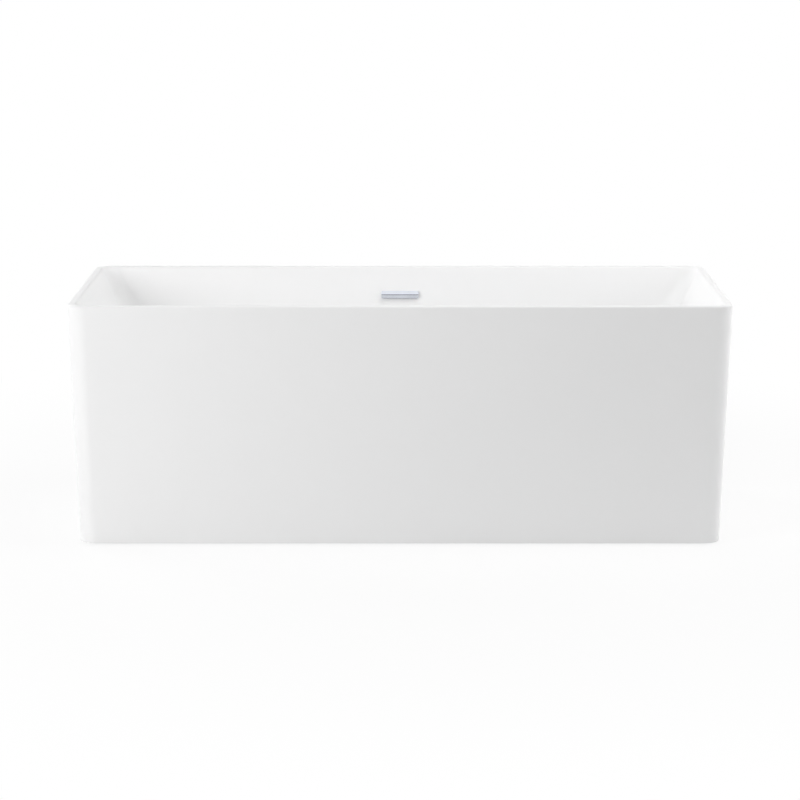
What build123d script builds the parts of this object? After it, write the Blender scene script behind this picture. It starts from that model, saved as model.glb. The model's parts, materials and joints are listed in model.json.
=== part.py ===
from build123d import *
import os
from math import cos, radians, sin, tan

# Freestanding rectangular bathtub: an acrylic well and skirt bonded at the rim, carried on a
# steel frame with screw feet, with a slot overflow and a push-to-close waste.
# Millimetres. The origin is on the floor under the middle of the tub, +Z is up, +X runs along
# the length, and the overflow is in the wall on the +Y side.

# Overall form
LENGTH = 1600.0
WIDTH = 750.0
HEIGHT = 590.0
BASE_TAPER = 21.0  # how far each side draws in between the rim and the skirt's foot
TOP_CORNER = 48.0
BASE_CORNER = 42.0
FLOOR_GAP = 5.0  # the skirt's foot stands this far above the floor

# Shells
SKIRT_WALL = 6.0
BASIN_WALL = 6.0
RIM_WIDTH = 20.0
RIM_THICK = 8.0
RIM_OUTER_ROUND = 5.0
RIM_INNER_ROUND = 8.0
RETURN_WIDTH = 28.0  # flange turned inwards along the skirt's foot
RETURN_THICK = 6.0
BOND_DEPTH = 22.0  # bead of adhesive under the rim, between the two shells

# Bathing well
UNDERFLOOR = 136.0  # height of the floor's underside
FLOOR_THICK = 14.0
FLOOR_FALL = 4.0  # the floor falls this much towards the waste
FALL_MARGIN = 6.0
FALL_CORNER = 40.0
END_SLOPE = 25.0  # backrests, degrees from upright
SIDE_SLOPE = 13.0
OPENING_CORNER = 32.0
FLOOR_CORNER = 120.0
FLOOR_ROUND = 90.0

# Board and frame under the floor
BOARD_THICK = 15.0
BOARD_MARGIN = 8.0
BOARD_CORNER = 30.0
BOARD_HOLE = 110.0
TUBE = 25.0
TUBE_WALL = 2.0
TUBE_ROUND = 3.0
RAIL_INSET = 10.0
CROSS_GAP = 40.0  # from the board's end to the middle of an end crosspiece
MID_CROSS_GAP = 85.0  # from the board's hole to the middle of a middle crosspiece
SKIRT_FIT = 0.3  # crosspiece ends stop this far short of the skirt
SCREW_END_INSET = 70.0  # outer screws, in from the board's ends
SCREW_SHANK = 4.8
SCREW_HEAD = 10.0
SCREW_HEAD_THICK = 3.0
SCREW_BITE = 11.0  # into the board
SCREW_FIT = 0.1  # radial

# Screw feet
FOOT_INSET = 125.0  # middle of a foot, in from the rim's long side
STUD = 12.0
STUD_FIT = 0.08  # radial, in the nuts and the pad
STUD_ABOVE = 4.0  # above the crosspiece
STUD_TIP = 1.2
TUBE_HOLE_FIT = 0.6
FLATS = 19.0  # nuts and the stud's own hexagon
WELD_NUT_THICK = 10.0
JAM_NUT_THICK = 6.0
DRIVE_THICK = 8.0
DRIVE_ABOVE_PAD = 4.0
PAD = 56.0
PAD_NECK = 26.0
PAD_EDGE = 5.0
PAD_THICK = 17.0
PAD_SOCKET = 12.0
PAD_ROUND = 1.5

# Waste
FLANGE = 72.0
FLANGE_THICK = 3.0
FLANGE_ROUND = 1.0
FLANGE_FIT = 0.5
GASKET_THICK = 2.0
SHANK = 47.8
SHANK_BORE = 41.0
SHANK_REACH = 31.0  # below the floor's underside
SHANK_FIT = 0.15
FLOOR_HOLE_FIT = 1.0
SEAT_CHAMFER = 1.6
WASHER_OUT = 68.0
WASHER_THICK = 3.0
LOCKNUT_FLATS = 62.0
LOCKNUT_THICK = 9.0
SPIDER_DROP = 16.0  # top of the spider below the flange
SPIDER_THICK = 6.0
SPIDER_BAR = 4.0
HUB = 21.0

# Push-to-close plug, drawn open
PLUG_LIFT = 9.0
PLUG_SHUT_GAP = 1.0
PLUG_CAP = 64.0
PLUG_CAP_THICK = 8.0
PLUG_DISH = 6.0  # how far the domed top falls from its middle to its edge
SEAL_THICK = 4.0
SEAL_FIT = 0.4
PLUNGER = 8.0
PLUNGER_FIT = 0.08  # radial
PLUNGER_PIN = 4.6
PIN_LENGTH = 12.0
SPRING_LENGTH = 23.0
SPRING_WIRE = 0.9
SPRING_TURNS = 6
SLEEVE = 14.0
SLEEVE_FIT = 0.1
SLEEVE_COLLAR = 18.0
SLEEVE_COLLAR_THICK = 3.0
SLEEVE_FLOOR = 3.0

# Waste tee, tailpiece and overflow pipe
PIPE = 38.0
PIPE_WALL = 1.8
PIPE_FIT = 0.2  # radial
TEE_COLLAR = 58.0
TEE_COLLAR_GAP = 2.0  # below the locknut
TEE_BODY = 50.0
TEE_DROP = 62.0  # pipe's axis below the floor's underside
TEE_REACH = 62.0  # from the waste's axis to the inlet's end
TEE_BELOW = 35.0  # outlet's end below the pipe's axis
THREAD = 46.0
SOCKET_DEPTH = 16.0
TAIL_CLEAR = 6.0  # tailpiece's end above the floor
TAIL_BEAD = 42.0  # stop ring round the tailpiece, under its nut
TAIL_BEAD_THICK = 2.0
TAIL_BEAD_GAP = 0.3
NUT_FLATS = 56.0
NUT_GRIP = 9.0
NUT_LIP = 3.0
NUT_FIT = 0.15
RING_THICK = 4.0
PIPE_BEND = 50.0

# Slot overflow
OVERFLOW_DROP = 73.0  # its middle below the rim
SLOT_LENGTH = 70.0
SLOT_HEIGHT = 10.0
COVER_LENGTH = 98.0
COVER_HEIGHT = 20.0
COVER_DEPTH = 10.0
COVER_TOP_DEPTH = 5.0
COVER_FOOT_DEPTH = 7.5
COVER_CORNER = 4.0
COVER_WALL = 1.6
COVER_CAVITY = 4.6
CREASE_WIDTH = 2.0
CREASE_DEPTH = 2.0
CREASE_RISE = -0.6
INTAKE_LENGTH = 88.0
BRACKET_THICK = 1.5
BRACKET_FIT = 0.3
BRACKET_HOLE_X = 43.0
OVERFLOW_SCREW = 4.0
OVERFLOW_SCREW_HEAD = 7.4
OVERFLOW_SCREW_HEAD_THICK = 2.4
SEAL_WIDTH = 108.0
SEAL_HEIGHT = 30.0
SEAL_GASKET = 2.0
DUCT_WIDTH = 112.0
DUCT_THICK = 14.0
DUCT_WALL = 2.0
DUCT_ABOVE = 18.0
BOSS = 9.0
SUMP_DEPTH = 52.0
SUMP_HEIGHT = 44.0
SUMP_CLEAR = 1.5  # from the well's wall
SPIGOT_ABOVE_PIPE = 62.0  # spigot's end above the pipe's axis
SPIGOT_LENGTH = 20.0

# Levels
FLOOR_TOP = UNDERFLOOR + FLOOR_THICK
WELL_DEPTH = HEIGHT - FLOOR_TOP
RIM_UNDER = HEIGHT - RIM_THICK
BOARD_UNDER = UNDERFLOOR - BOARD_THICK
FRAME_UNDER = BOARD_UNDER - TUBE
WASTE_TOP = FLOOR_TOP - FLOOR_FALL
FLANGE_UNDER = WASTE_TOP - FLANGE_THICK
WASTE_SEAT = FLANGE_UNDER - GASKET_THICK
SHANK_END = UNDERFLOOR - SHANK_REACH
LOCKNUT_TOP = UNDERFLOOR - WASHER_THICK
LOCKNUT_UNDER = LOCKNUT_TOP - LOCKNUT_THICK
SPIDER_TOP = WASTE_TOP - SPIDER_DROP
CAP_UNDER = WASTE_TOP + PLUG_SHUT_GAP + PLUG_LIFT
PIPE_AXIS = UNDERFLOOR - TEE_DROP
TEE_END = PIPE_AXIS - TEE_BELOW
SPIGOT_END = PIPE_AXIS + SPIGOT_ABOVE_PIPE

# Half sizes of the floor's flat part, inside the round that joins it to the walls
FLAT_HALF_LENGTH = (
    LENGTH / 2
    - RIM_WIDTH
    - WELL_DEPTH * tan(radians(END_SLOPE))
    - FLOOR_ROUND / tan(radians(45 + END_SLOPE / 2))
)
FLAT_HALF_WIDTH = (
    WIDTH / 2
    - RIM_WIDTH
    - WELL_DEPTH * tan(radians(SIDE_SLOPE))
    - FLOOR_ROUND / tan(radians(45 + SIDE_SLOPE / 2))
)
BOARD_HALF_LENGTH = FLAT_HALF_LENGTH - BOARD_MARGIN
BOARD_HALF_WIDTH = FLAT_HALF_WIDTH - BOARD_MARGIN
RAIL_Y = BOARD_HALF_WIDTH - RAIL_INSET - TUBE / 2
CROSS_X = BOARD_HALF_LENGTH + CROSS_GAP
MID_CROSS_X = BOARD_HOLE / 2 + MID_CROSS_GAP
OUTER_SCREW_X = BOARD_HALF_LENGTH - SCREW_END_INSET
INNER_SCREW_X = (MID_CROSS_X + OUTER_SCREW_X) / 2
SCREW_XS = (-OUTER_SCREW_X, -INNER_SCREW_X, INNER_SCREW_X, OUTER_SCREW_X)
FOOT_Y = WIDTH / 2 - FOOT_INSET
FEET = {
    "front_left": (-CROSS_X, -FOOT_Y),
    "front_right": (CROSS_X, -FOOT_Y),
    "rear_left": (-CROSS_X, FOOT_Y),
    "rear_right": (CROSS_X, FOOT_Y),
}


def save(built, name):
    """Label a finished piece and write its file."""
    built.part.label = name
    export_step(built.part, f"parts/{name}.step")


def draw_in(z):
    """How far the skirt's outside has drawn in at a height."""
    return BASE_TAPER * (HEIGHT - z) / (HEIGHT - FLOOR_GAP)


def tub_outline(z, inside=0.0, mode=Mode.ADD):
    """Outline of the tub's outside at a height, or of a line that far inside it."""
    inset = 2 * (draw_in(z) + inside)
    share = (HEIGHT - z) / (HEIGHT - FLOOR_GAP)
    corner = TOP_CORNER + share * (BASE_CORNER - TOP_CORNER) - inside
    RectangleRounded(LENGTH - inset, WIDTH - inset, corner, mode=mode)


def well_outline(z, grow=0.0):
    """Outline of the bathing well at a height, grown outwards by a wall."""
    drop = HEIGHT - z
    half_length = LENGTH / 2 - RIM_WIDTH - drop * tan(radians(END_SLOPE)) + grow / cos(radians(END_SLOPE))
    half_width = WIDTH / 2 - RIM_WIDTH - drop * tan(radians(SIDE_SLOPE)) + grow / cos(radians(SIDE_SLOPE))
    corner = OPENING_CORNER + drop / WELL_DEPTH * (FLOOR_CORNER - OPENING_CORNER) + grow
    RectangleRounded(2 * half_length, 2 * half_width, corner)


def side_wall_y(z):
    """Outer face of the well's long wall, on the overflow side, at a height."""
    drop = HEIGHT - z
    return WIDTH / 2 - RIM_WIDTH - drop * tan(radians(SIDE_SLOPE)) + BASIN_WALL / cos(radians(SIDE_SLOPE))


def well_form(floor, top, grow):
    """The well as a filled shape: tapered walls that round into the floor."""
    with BuildPart() as form:
        for z in (floor, top):
            with BuildSketch(Plane.XY.offset(z)):
                well_outline(z, grow)
        loft(ruled=True)
        fillet(form.faces().sort_by(Axis.Z)[0].edges(), FLOOR_ROUND + grow)
    return form.part


# Plane on the inner face of the overflow wall: X along the tub, Y up the wall, Z into the well
OVERFLOW_PLANE = Plane(
    origin=(
        0,
        WIDTH / 2 - RIM_WIDTH - OVERFLOW_DROP * tan(radians(SIDE_SLOPE)),
        HEIGHT - OVERFLOW_DROP,
    ),
    x_dir=(1, 0, 0),
    z_dir=(0, -cos(radians(SIDE_SLOPE)), sin(radians(SIDE_SLOPE))),
)
BACK_PLANE = OVERFLOW_PLANE.offset(-BASIN_WALL)  # outer face of the same wall
DUCT_PLANE = BACK_PLANE.offset(-SEAL_GASKET)
SCREW_PLACES = [(-BRACKET_HOLE_X, 0), (BRACKET_HOLE_X, 0)]
WALL_SLOT = 2 * BRACKET_HOLE_X + SLOT_HEIGHT  # the screws pass through the slot's round ends

os.makedirs("parts", exist_ok=True)

# Skirt: four drawn-in walls with a flange turned inwards along the foot
with BuildPart() as outer_skirt:
    for z in (FLOOR_GAP, RIM_UNDER):
        with BuildSketch(Plane.XY.offset(z)):
            tub_outline(z)
    loft(ruled=True)
    for z in (FLOOR_GAP, RIM_UNDER):
        with BuildSketch(Plane.XY.offset(z)):
            tub_outline(z, SKIRT_WALL)
    loft(ruled=True, mode=Mode.SUBTRACT)
    with BuildSketch(Plane.XY.offset(FLOOR_GAP)):
        tub_outline(FLOOR_GAP)
        tub_outline(FLOOR_GAP, RETURN_WIDTH, mode=Mode.SUBTRACT)
    extrude(amount=RETURN_THICK)
save(outer_skirt, "outer_skirt")

# Well and rim in one shell, with a floor that falls to the waste
well_inside = well_form(FLOOR_TOP, HEIGHT, 0)
well_outside = well_form(UNDERFLOOR, RIM_UNDER, BASIN_WALL)
with BuildPart() as inner_basin:
    for z in (RIM_UNDER, HEIGHT):
        with BuildSketch(Plane.XY.offset(z)):
            tub_outline(z)
    loft(ruled=True)
    add(well_outside)
    add(well_inside, mode=Mode.SUBTRACT)
    rim_top = inner_basin.faces().sort_by(Axis.Z)[-1]
    fillet(rim_top.outer_wire().edges(), RIM_OUTER_ROUND)
    rim_top = inner_basin.faces().filter_by(Axis.Z).sort_by(Axis.Z)[-1]
    fillet(rim_top.inner_wires()[0].edges(), RIM_INNER_ROUND)
    with BuildSketch(Plane.XY.offset(FLOOR_TOP)):
        RectangleRounded(
            2 * (FLAT_HALF_LENGTH - FALL_MARGIN), 2 * (FLAT_HALF_WIDTH - FALL_MARGIN), FALL_CORNER
        )
    with BuildSketch(Plane.XY.offset(WASTE_TOP)):
        RectangleRounded(FLANGE + 2 * FALL_CORNER, FLANGE + 2 * FALL_CORNER, FALL_CORNER)
    loft(ruled=True, mode=Mode.SUBTRACT)
    with BuildSketch(Plane.XY.offset(WASTE_SEAT)):
        Circle(FLANGE / 2 + FLANGE_FIT)
    extrude(amount=FLANGE_THICK + GASKET_THICK, mode=Mode.SUBTRACT)
    with BuildSketch(Plane.XY.offset(UNDERFLOOR)):
        Circle(SHANK / 2 + FLOOR_HOLE_FIT)
    extrude(amount=FLOOR_THICK, mode=Mode.SUBTRACT)
    with BuildSketch(BACK_PLANE.offset(-BASIN_WALL)):
        SlotOverall(WALL_SLOT, SLOT_HEIGHT)
    extrude(amount=3 * BASIN_WALL, mode=Mode.SUBTRACT)
save(inner_basin, "inner_basin")

# Adhesive bead that joins the shells, in the gap under the rim
with BuildPart() as rim_bond:
    for z in (RIM_UNDER - BOND_DEPTH, RIM_UNDER):
        with BuildSketch(Plane.XY.offset(z)):
            tub_outline(z, SKIRT_WALL)
    loft(ruled=True)
    add(well_outside, mode=Mode.SUBTRACT)
save(rim_bond, "rim_bond")

# Stiffening board under the floor
with BuildPart() as floor_board:
    with BuildSketch(Plane.XY.offset(BOARD_UNDER)):
        RectangleRounded(2 * BOARD_HALF_LENGTH, 2 * BOARD_HALF_WIDTH, BOARD_CORNER)
        Circle(BOARD_HOLE / 2, mode=Mode.SUBTRACT)
    extrude(amount=BOARD_THICK)
    with BuildSketch(Plane.XY.offset(BOARD_UNDER)):
        with Locations(*[(x, y) for x in SCREW_XS for y in (-RAIL_Y, RAIL_Y)]):
            Circle(SCREW_SHANK / 2 + SCREW_FIT)
    extrude(amount=SCREW_BITE + SCREW_FIT, mode=Mode.SUBTRACT)
save(floor_board, "floor_board")


def tube_section():
    """Square steel tube with rounded corners."""
    RectangleRounded(TUBE, TUBE, TUBE_ROUND)
    RectangleRounded(TUBE - 2 * TUBE_WALL, TUBE - 2 * TUBE_WALL, TUBE_ROUND - TUBE_WALL, mode=Mode.SUBTRACT)


# Long rails, drilled for the screws that hold the board
for name, y in (("front", -RAIL_Y), ("rear", RAIL_Y)):
    with BuildPart() as rail:
        with BuildSketch(Plane.YZ):
            with Locations((y, FRAME_UNDER + TUBE / 2)):
                tube_section()
        extrude(amount=CROSS_X - TUBE / 2, both=True)
        with BuildSketch(Plane.XY.offset(FRAME_UNDER)):
            with Locations(*[(x, y) for x in SCREW_XS]):
                Circle(SCREW_SHANK / 2 + SCREW_FIT)
        extrude(amount=TUBE, mode=Mode.SUBTRACT)
    save(rail, f"frame_rail_{name}")

# End crosspieces reach the skirt on both sides and are drilled for the feet
SKIRT_INSIDE_Y = WIDTH / 2 - draw_in(FRAME_UNDER) - SKIRT_WALL - SKIRT_FIT
for name, x in (("left", -CROSS_X), ("right", CROSS_X)):
    with BuildPart() as end_cross:
        with BuildSketch(Plane.XZ):
            with Locations((x, FRAME_UNDER + TUBE / 2)):
                tube_section()
        extrude(amount=SKIRT_INSIDE_Y, both=True)
        with BuildSketch(Plane.XY.offset(FRAME_UNDER)):
            with Locations((x, -FOOT_Y), (x, FOOT_Y)):
                Circle(STUD / 2 + TUBE_HOLE_FIT)
        extrude(amount=TUBE, mode=Mode.SUBTRACT)
    save(end_cross, f"frame_end_{name}")

# Middle crosspieces stand between the rails, either side of the waste
for name, x in (("left", -MID_CROSS_X), ("right", MID_CROSS_X)):
    with BuildPart() as mid_cross:
        with BuildSketch(Plane.XZ):
            with Locations((x, FRAME_UNDER + TUBE / 2)):
                tube_section()
        extrude(amount=RAIL_Y - TUBE / 2, both=True)
    save(mid_cross, f"frame_middle_{name}")

# Screws up through the rails into the board
with BuildPart() as frame_screws:
    with BuildSketch(Plane.XY.offset(FRAME_UNDER - SCREW_HEAD_THICK)):
        with Locations(*[(x, y) for x in SCREW_XS for y in (-RAIL_Y, RAIL_Y)]):
            Circle(SCREW_HEAD / 2)
    extrude(amount=SCREW_HEAD_THICK)
    with BuildSketch(Plane.XY.offset(FRAME_UNDER)):
        with Locations(*[(x, y) for x in SCREW_XS for y in (-RAIL_Y, RAIL_Y)]):
            Circle(SCREW_SHANK / 2)
    extrude(amount=TUBE + SCREW_BITE)
    heads = frame_screws.edges().filter_by(GeomType.CIRCLE).group_by(Axis.Z)[0]
    fillet(heads, SCREW_HEAD_THICK / 2)
save(frame_screws, "frame_screws")


def hex_nuts(top, thick):
    """One hexagon nut under each foot's hole in the crosspieces."""
    with BuildPart() as nuts:
        with BuildSketch(Plane.XY.offset(top - thick)):
            with Locations(*FEET.values()):
                RegularPolygon(FLATS / 2, 6, major_radius=False)
                Circle(STUD / 2 + STUD_FIT, mode=Mode.SUBTRACT)
        extrude(amount=thick)
    return nuts


save(hex_nuts(FRAME_UNDER, WELD_NUT_THICK), "foot_weld_nuts")
save(hex_nuts(FRAME_UNDER - WELD_NUT_THICK, JAM_NUT_THICK), "foot_jam_nuts")

# Feet: a threaded stud with its own hexagon, turning in a round pad
STUD_FOOT = PAD_THICK - PAD_SOCKET
for name, (x, y) in FEET.items():
    with BuildPart() as foot_stud:
        with BuildSketch(Plane.XY.offset(STUD_FOOT)):
            with Locations((x, y)):
                Circle(STUD / 2)
        extrude(amount=FRAME_UNDER + TUBE + STUD_ABOVE - STUD_FOOT)
        rod_ends = foot_stud.edges().filter_by(GeomType.CIRCLE)
        chamfer(rod_ends, STUD_TIP)
        with BuildSketch(Plane.XY.offset(PAD_THICK + DRIVE_ABOVE_PAD)):
            with Locations((x, y)):
                RegularPolygon(FLATS / 2, 6, major_radius=False)
        extrude(amount=DRIVE_THICK)
    save(foot_stud, f"foot_stud_{name}")
    with BuildPart() as foot_pad:
        with BuildSketch(Plane.XZ.offset(-y)):
            with BuildLine():
                Polyline(
                    (x, 0),
                    (x + PAD / 2, 0),
                    (x + PAD / 2, PAD_EDGE),
                    (x + PAD_NECK / 2, PAD_THICK),
                    (x, PAD_THICK),
                    close=True,
                )
            make_face()
        revolve(axis=Axis((x, y, 0), (0, 0, 1)))
        rounded = foot_pad.edges().filter_by(GeomType.CIRCLE).group_by(Axis.Z)
        fillet(rounded[1] + rounded[-1], PAD_ROUND)
        with BuildSketch(Plane.XY.offset(STUD_FOOT)):
            with Locations((x, y)):
                Circle(STUD / 2 + STUD_FIT)
        extrude(amount=PAD_SOCKET, mode=Mode.SUBTRACT)
    save(foot_pad, f"foot_pad_{name}")


def ring(low, high, outer, inner):
    """A round ring about the waste's axis, between two heights, by diameters."""
    with BuildPart() as piece:
        with BuildSketch(Plane.XY.offset(low)):
            Circle(outer / 2)
            Circle(inner / 2, mode=Mode.SUBTRACT)
        extrude(amount=high - low)
    return piece


# Waste: flange and threaded shank with a spider for the plug's sleeve
with BuildPart() as drain_flange:
    with BuildSketch(Plane.XY.offset(FLANGE_UNDER)):
        Circle(FLANGE / 2)
    extrude(amount=FLANGE_THICK)
    flange_edge = drain_flange.edges().filter_by(GeomType.CIRCLE).sort_by(Axis.Z)[-1]
    fillet(flange_edge, FLANGE_ROUND)
    with BuildSketch(Plane.XY.offset(SHANK_END)):
        Circle(SHANK / 2)
    extrude(amount=FLANGE_UNDER - SHANK_END)
    with BuildSketch(Plane.XY.offset(SHANK_END)):
        Circle(SHANK_BORE / 2)
    extrude(amount=WASTE_TOP - SHANK_END, mode=Mode.SUBTRACT)
    throat = drain_flange.edges().filter_by(GeomType.CIRCLE).group_by(Axis.Z)[-1].sort_by(SortBy.RADIUS)[0]
    chamfer(throat, SEAT_CHAMFER)
    with BuildSketch(Plane.XY.offset(SPIDER_TOP - SPIDER_THICK)):
        Rectangle(SHANK_BORE + SPIDER_BAR / 2, SPIDER_BAR)
        Rectangle(SPIDER_BAR, SHANK_BORE + SPIDER_BAR / 2)
        Circle(HUB / 2)
        Circle(SLEEVE / 2 + SLEEVE_FIT, mode=Mode.SUBTRACT)
    extrude(amount=SPIDER_THICK)
save(drain_flange, "drain_flange")
save(ring(WASTE_SEAT, FLANGE_UNDER, FLANGE, SHANK + 2 * FLANGE_FIT), "drain_gasket")
save(ring(LOCKNUT_TOP, UNDERFLOOR, WASHER_OUT, SHANK + 2 * FLANGE_FIT), "drain_washer")

with BuildPart() as drain_locknut:
    with BuildSketch(Plane.XY.offset(LOCKNUT_UNDER)):
        RegularPolygon(LOCKNUT_FLATS / 2, 6, major_radius=False)
        Circle(SHANK / 2 + SHANK_FIT, mode=Mode.SUBTRACT)
    extrude(amount=LOCKNUT_THICK)
save(drain_locknut, "drain_locknut")

# Plug: domed cap on a plunger, with a rubber seal under the cap
DOME_RADIUS = (PLUG_CAP**2 / 4 + PLUG_DISH**2) / (2 * PLUG_DISH)
with BuildPart() as plug_cap:
    with BuildSketch(Plane.XY.offset(CAP_UNDER)):
        Circle(PLUG_CAP / 2)
    extrude(amount=PLUG_CAP_THICK)
    with Locations((0, 0, CAP_UNDER + PLUG_CAP_THICK - DOME_RADIUS)):
        Sphere(DOME_RADIUS, mode=Mode.INTERSECT)
save(plug_cap, "plug_cap")
save(ring(CAP_UNDER - SEAL_THICK, CAP_UNDER, SHANK_BORE - 2 * SEAL_FIT, PLUNGER), "plug_seal")

# Plunger, spring and sleeve of the push-to-close action
SLEEVE_TOP = SPIDER_TOP + SLEEVE_COLLAR_THICK
SPRING_FOOT = SPIDER_TOP - SPRING_LENGTH
SLEEVE_UNDER = SPRING_FOOT - SLEEVE_FLOOR
with BuildPart() as plug_plunger:
    with BuildSketch(Plane.XY.offset(SPIDER_TOP)):
        Circle(PLUNGER / 2)
    extrude(amount=CAP_UNDER - SPIDER_TOP)
    with BuildSketch(Plane.XY.offset(SPIDER_TOP - PIN_LENGTH)):
        Circle(PLUNGER_PIN / 2)
    extrude(amount=PIN_LENGTH)
save(plug_plunger, "plug_plunger")

with BuildPart() as plug_sleeve:
    with BuildSketch(Plane.XY.offset(SLEEVE_UNDER)):
        Circle(SLEEVE / 2)
    extrude(amount=SLEEVE_TOP - SLEEVE_UNDER)
    with BuildSketch(Plane.XY.offset(SPIDER_TOP)):
        Circle(SLEEVE_COLLAR / 2)
    extrude(amount=SLEEVE_COLLAR_THICK)
    with BuildSketch(Plane.XY.offset(SPRING_FOOT)):
        Circle(PLUNGER / 2 + PLUNGER_FIT)
    extrude(amount=SLEEVE_TOP - SPRING_FOOT, mode=Mode.SUBTRACT)
save(plug_sleeve, "plug_sleeve")

SPRING_RADIUS = (PLUNGER - SPRING_WIRE) / 2
SPRING_RISE = SPRING_LENGTH - SPRING_WIRE
with BuildPart() as plug_spring:
    with BuildLine():
        coil = Helix(
            pitch=SPRING_RISE / SPRING_TURNS,
            height=SPRING_RISE,
            radius=SPRING_RADIUS,
            center=(0, 0, SPRING_FOOT + SPRING_WIRE / 2),
        )
    with BuildSketch(Plane(origin=coil @ 0, z_dir=coil % 0)):
        Circle(SPRING_WIRE / 2)
    sweep(path=coil)
save(plug_spring, "plug_spring")

# Tee under the waste: collar on the shank, inlet from the overflow, outlet below
OUTLET = Plane(origin=(0, 0, TEE_END), x_dir=(1, 0, 0), z_dir=(0, 0, -1))
INLET = Plane(origin=(0, TEE_REACH, PIPE_AXIS), x_dir=(1, 0, 0), z_dir=(0, 1, 0))
TEE_TOP = LOCKNUT_UNDER - TEE_COLLAR_GAP
with BuildPart() as drain_tee:
    with BuildSketch(Plane.XY.offset(SHANK_END - PIPE_WALL)):
        Circle(TEE_COLLAR / 2)
    extrude(amount=TEE_TOP - SHANK_END + PIPE_WALL)
    with BuildSketch(Plane.XY.offset(PIPE_AXIS - TEE_BODY / 2)):
        Circle(TEE_BODY / 2)
    extrude(amount=SHANK_END - PIPE_AXIS + TEE_BODY / 2)
    with BuildSketch(OUTLET):
        Circle(THREAD / 2)
    extrude(amount=-TEE_BELOW)
    with BuildSketch(INLET):
        Circle(THREAD / 2)
    extrude(amount=-TEE_REACH)
    with BuildSketch(Plane.XY.offset(SHANK_END)):
        Circle(SHANK / 2 + SHANK_FIT)
    extrude(amount=TEE_TOP - SHANK_END, mode=Mode.SUBTRACT)
    with BuildSketch(Plane.XY.offset(TEE_END)):
        Circle(PIPE / 2 - PIPE_WALL)
    extrude(amount=SHANK_END - TEE_END, mode=Mode.SUBTRACT)
    with BuildSketch(INLET):
        Circle(PIPE / 2 - PIPE_WALL)
    extrude(amount=-TEE_REACH, mode=Mode.SUBTRACT)
    for mouth in (OUTLET, INLET):
        with BuildSketch(mouth):
            Circle(PIPE / 2 + PIPE_FIT)
        extrude(amount=-SOCKET_DEPTH, mode=Mode.SUBTRACT)
save(drain_tee, "drain_tee")

with BuildPart() as tailpiece:
    with BuildSketch(Plane.XY.offset(TAIL_CLEAR)):
        Circle(PIPE / 2)
        Circle(PIPE / 2 - PIPE_WALL, mode=Mode.SUBTRACT)
    extrude(amount=TEE_END + SOCKET_DEPTH - PIPE_FIT - TAIL_CLEAR)
    with BuildSketch(OUTLET.offset(RING_THICK + NUT_LIP + TAIL_BEAD_GAP)):
        Circle(TAIL_BEAD / 2)
        Circle(PIPE / 2 - PIPE_WALL, mode=Mode.SUBTRACT)
    extrude(amount=TAIL_BEAD_THICK)
save(tailpiece, "tailpiece")


def slip_joint(mouth, name):
    """Nut and sealing ring that clamp a pipe in a threaded end; the plane looks along the pipe."""
    with BuildPart() as nut:
        with BuildSketch(mouth.offset(-NUT_GRIP)):
            RegularPolygon(NUT_FLATS / 2, 8, major_radius=False)
            Circle(THREAD / 2 + NUT_FIT, mode=Mode.SUBTRACT)
        extrude(amount=NUT_GRIP + RING_THICK)
        with BuildSketch(mouth.offset(RING_THICK)):
            RegularPolygon(NUT_FLATS / 2, 8, major_radius=False)
            Circle(PIPE / 2 + PIPE_FIT, mode=Mode.SUBTRACT)
        extrude(amount=NUT_LIP)
    save(nut, f"{name}_nut")
    with BuildPart() as seal:
        with BuildSketch(mouth):
            Circle(THREAD / 2)
            Circle(PIPE / 2 + NUT_FIT, mode=Mode.SUBTRACT)
        extrude(amount=RING_THICK)
    save(seal, f"{name}_seal")


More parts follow.
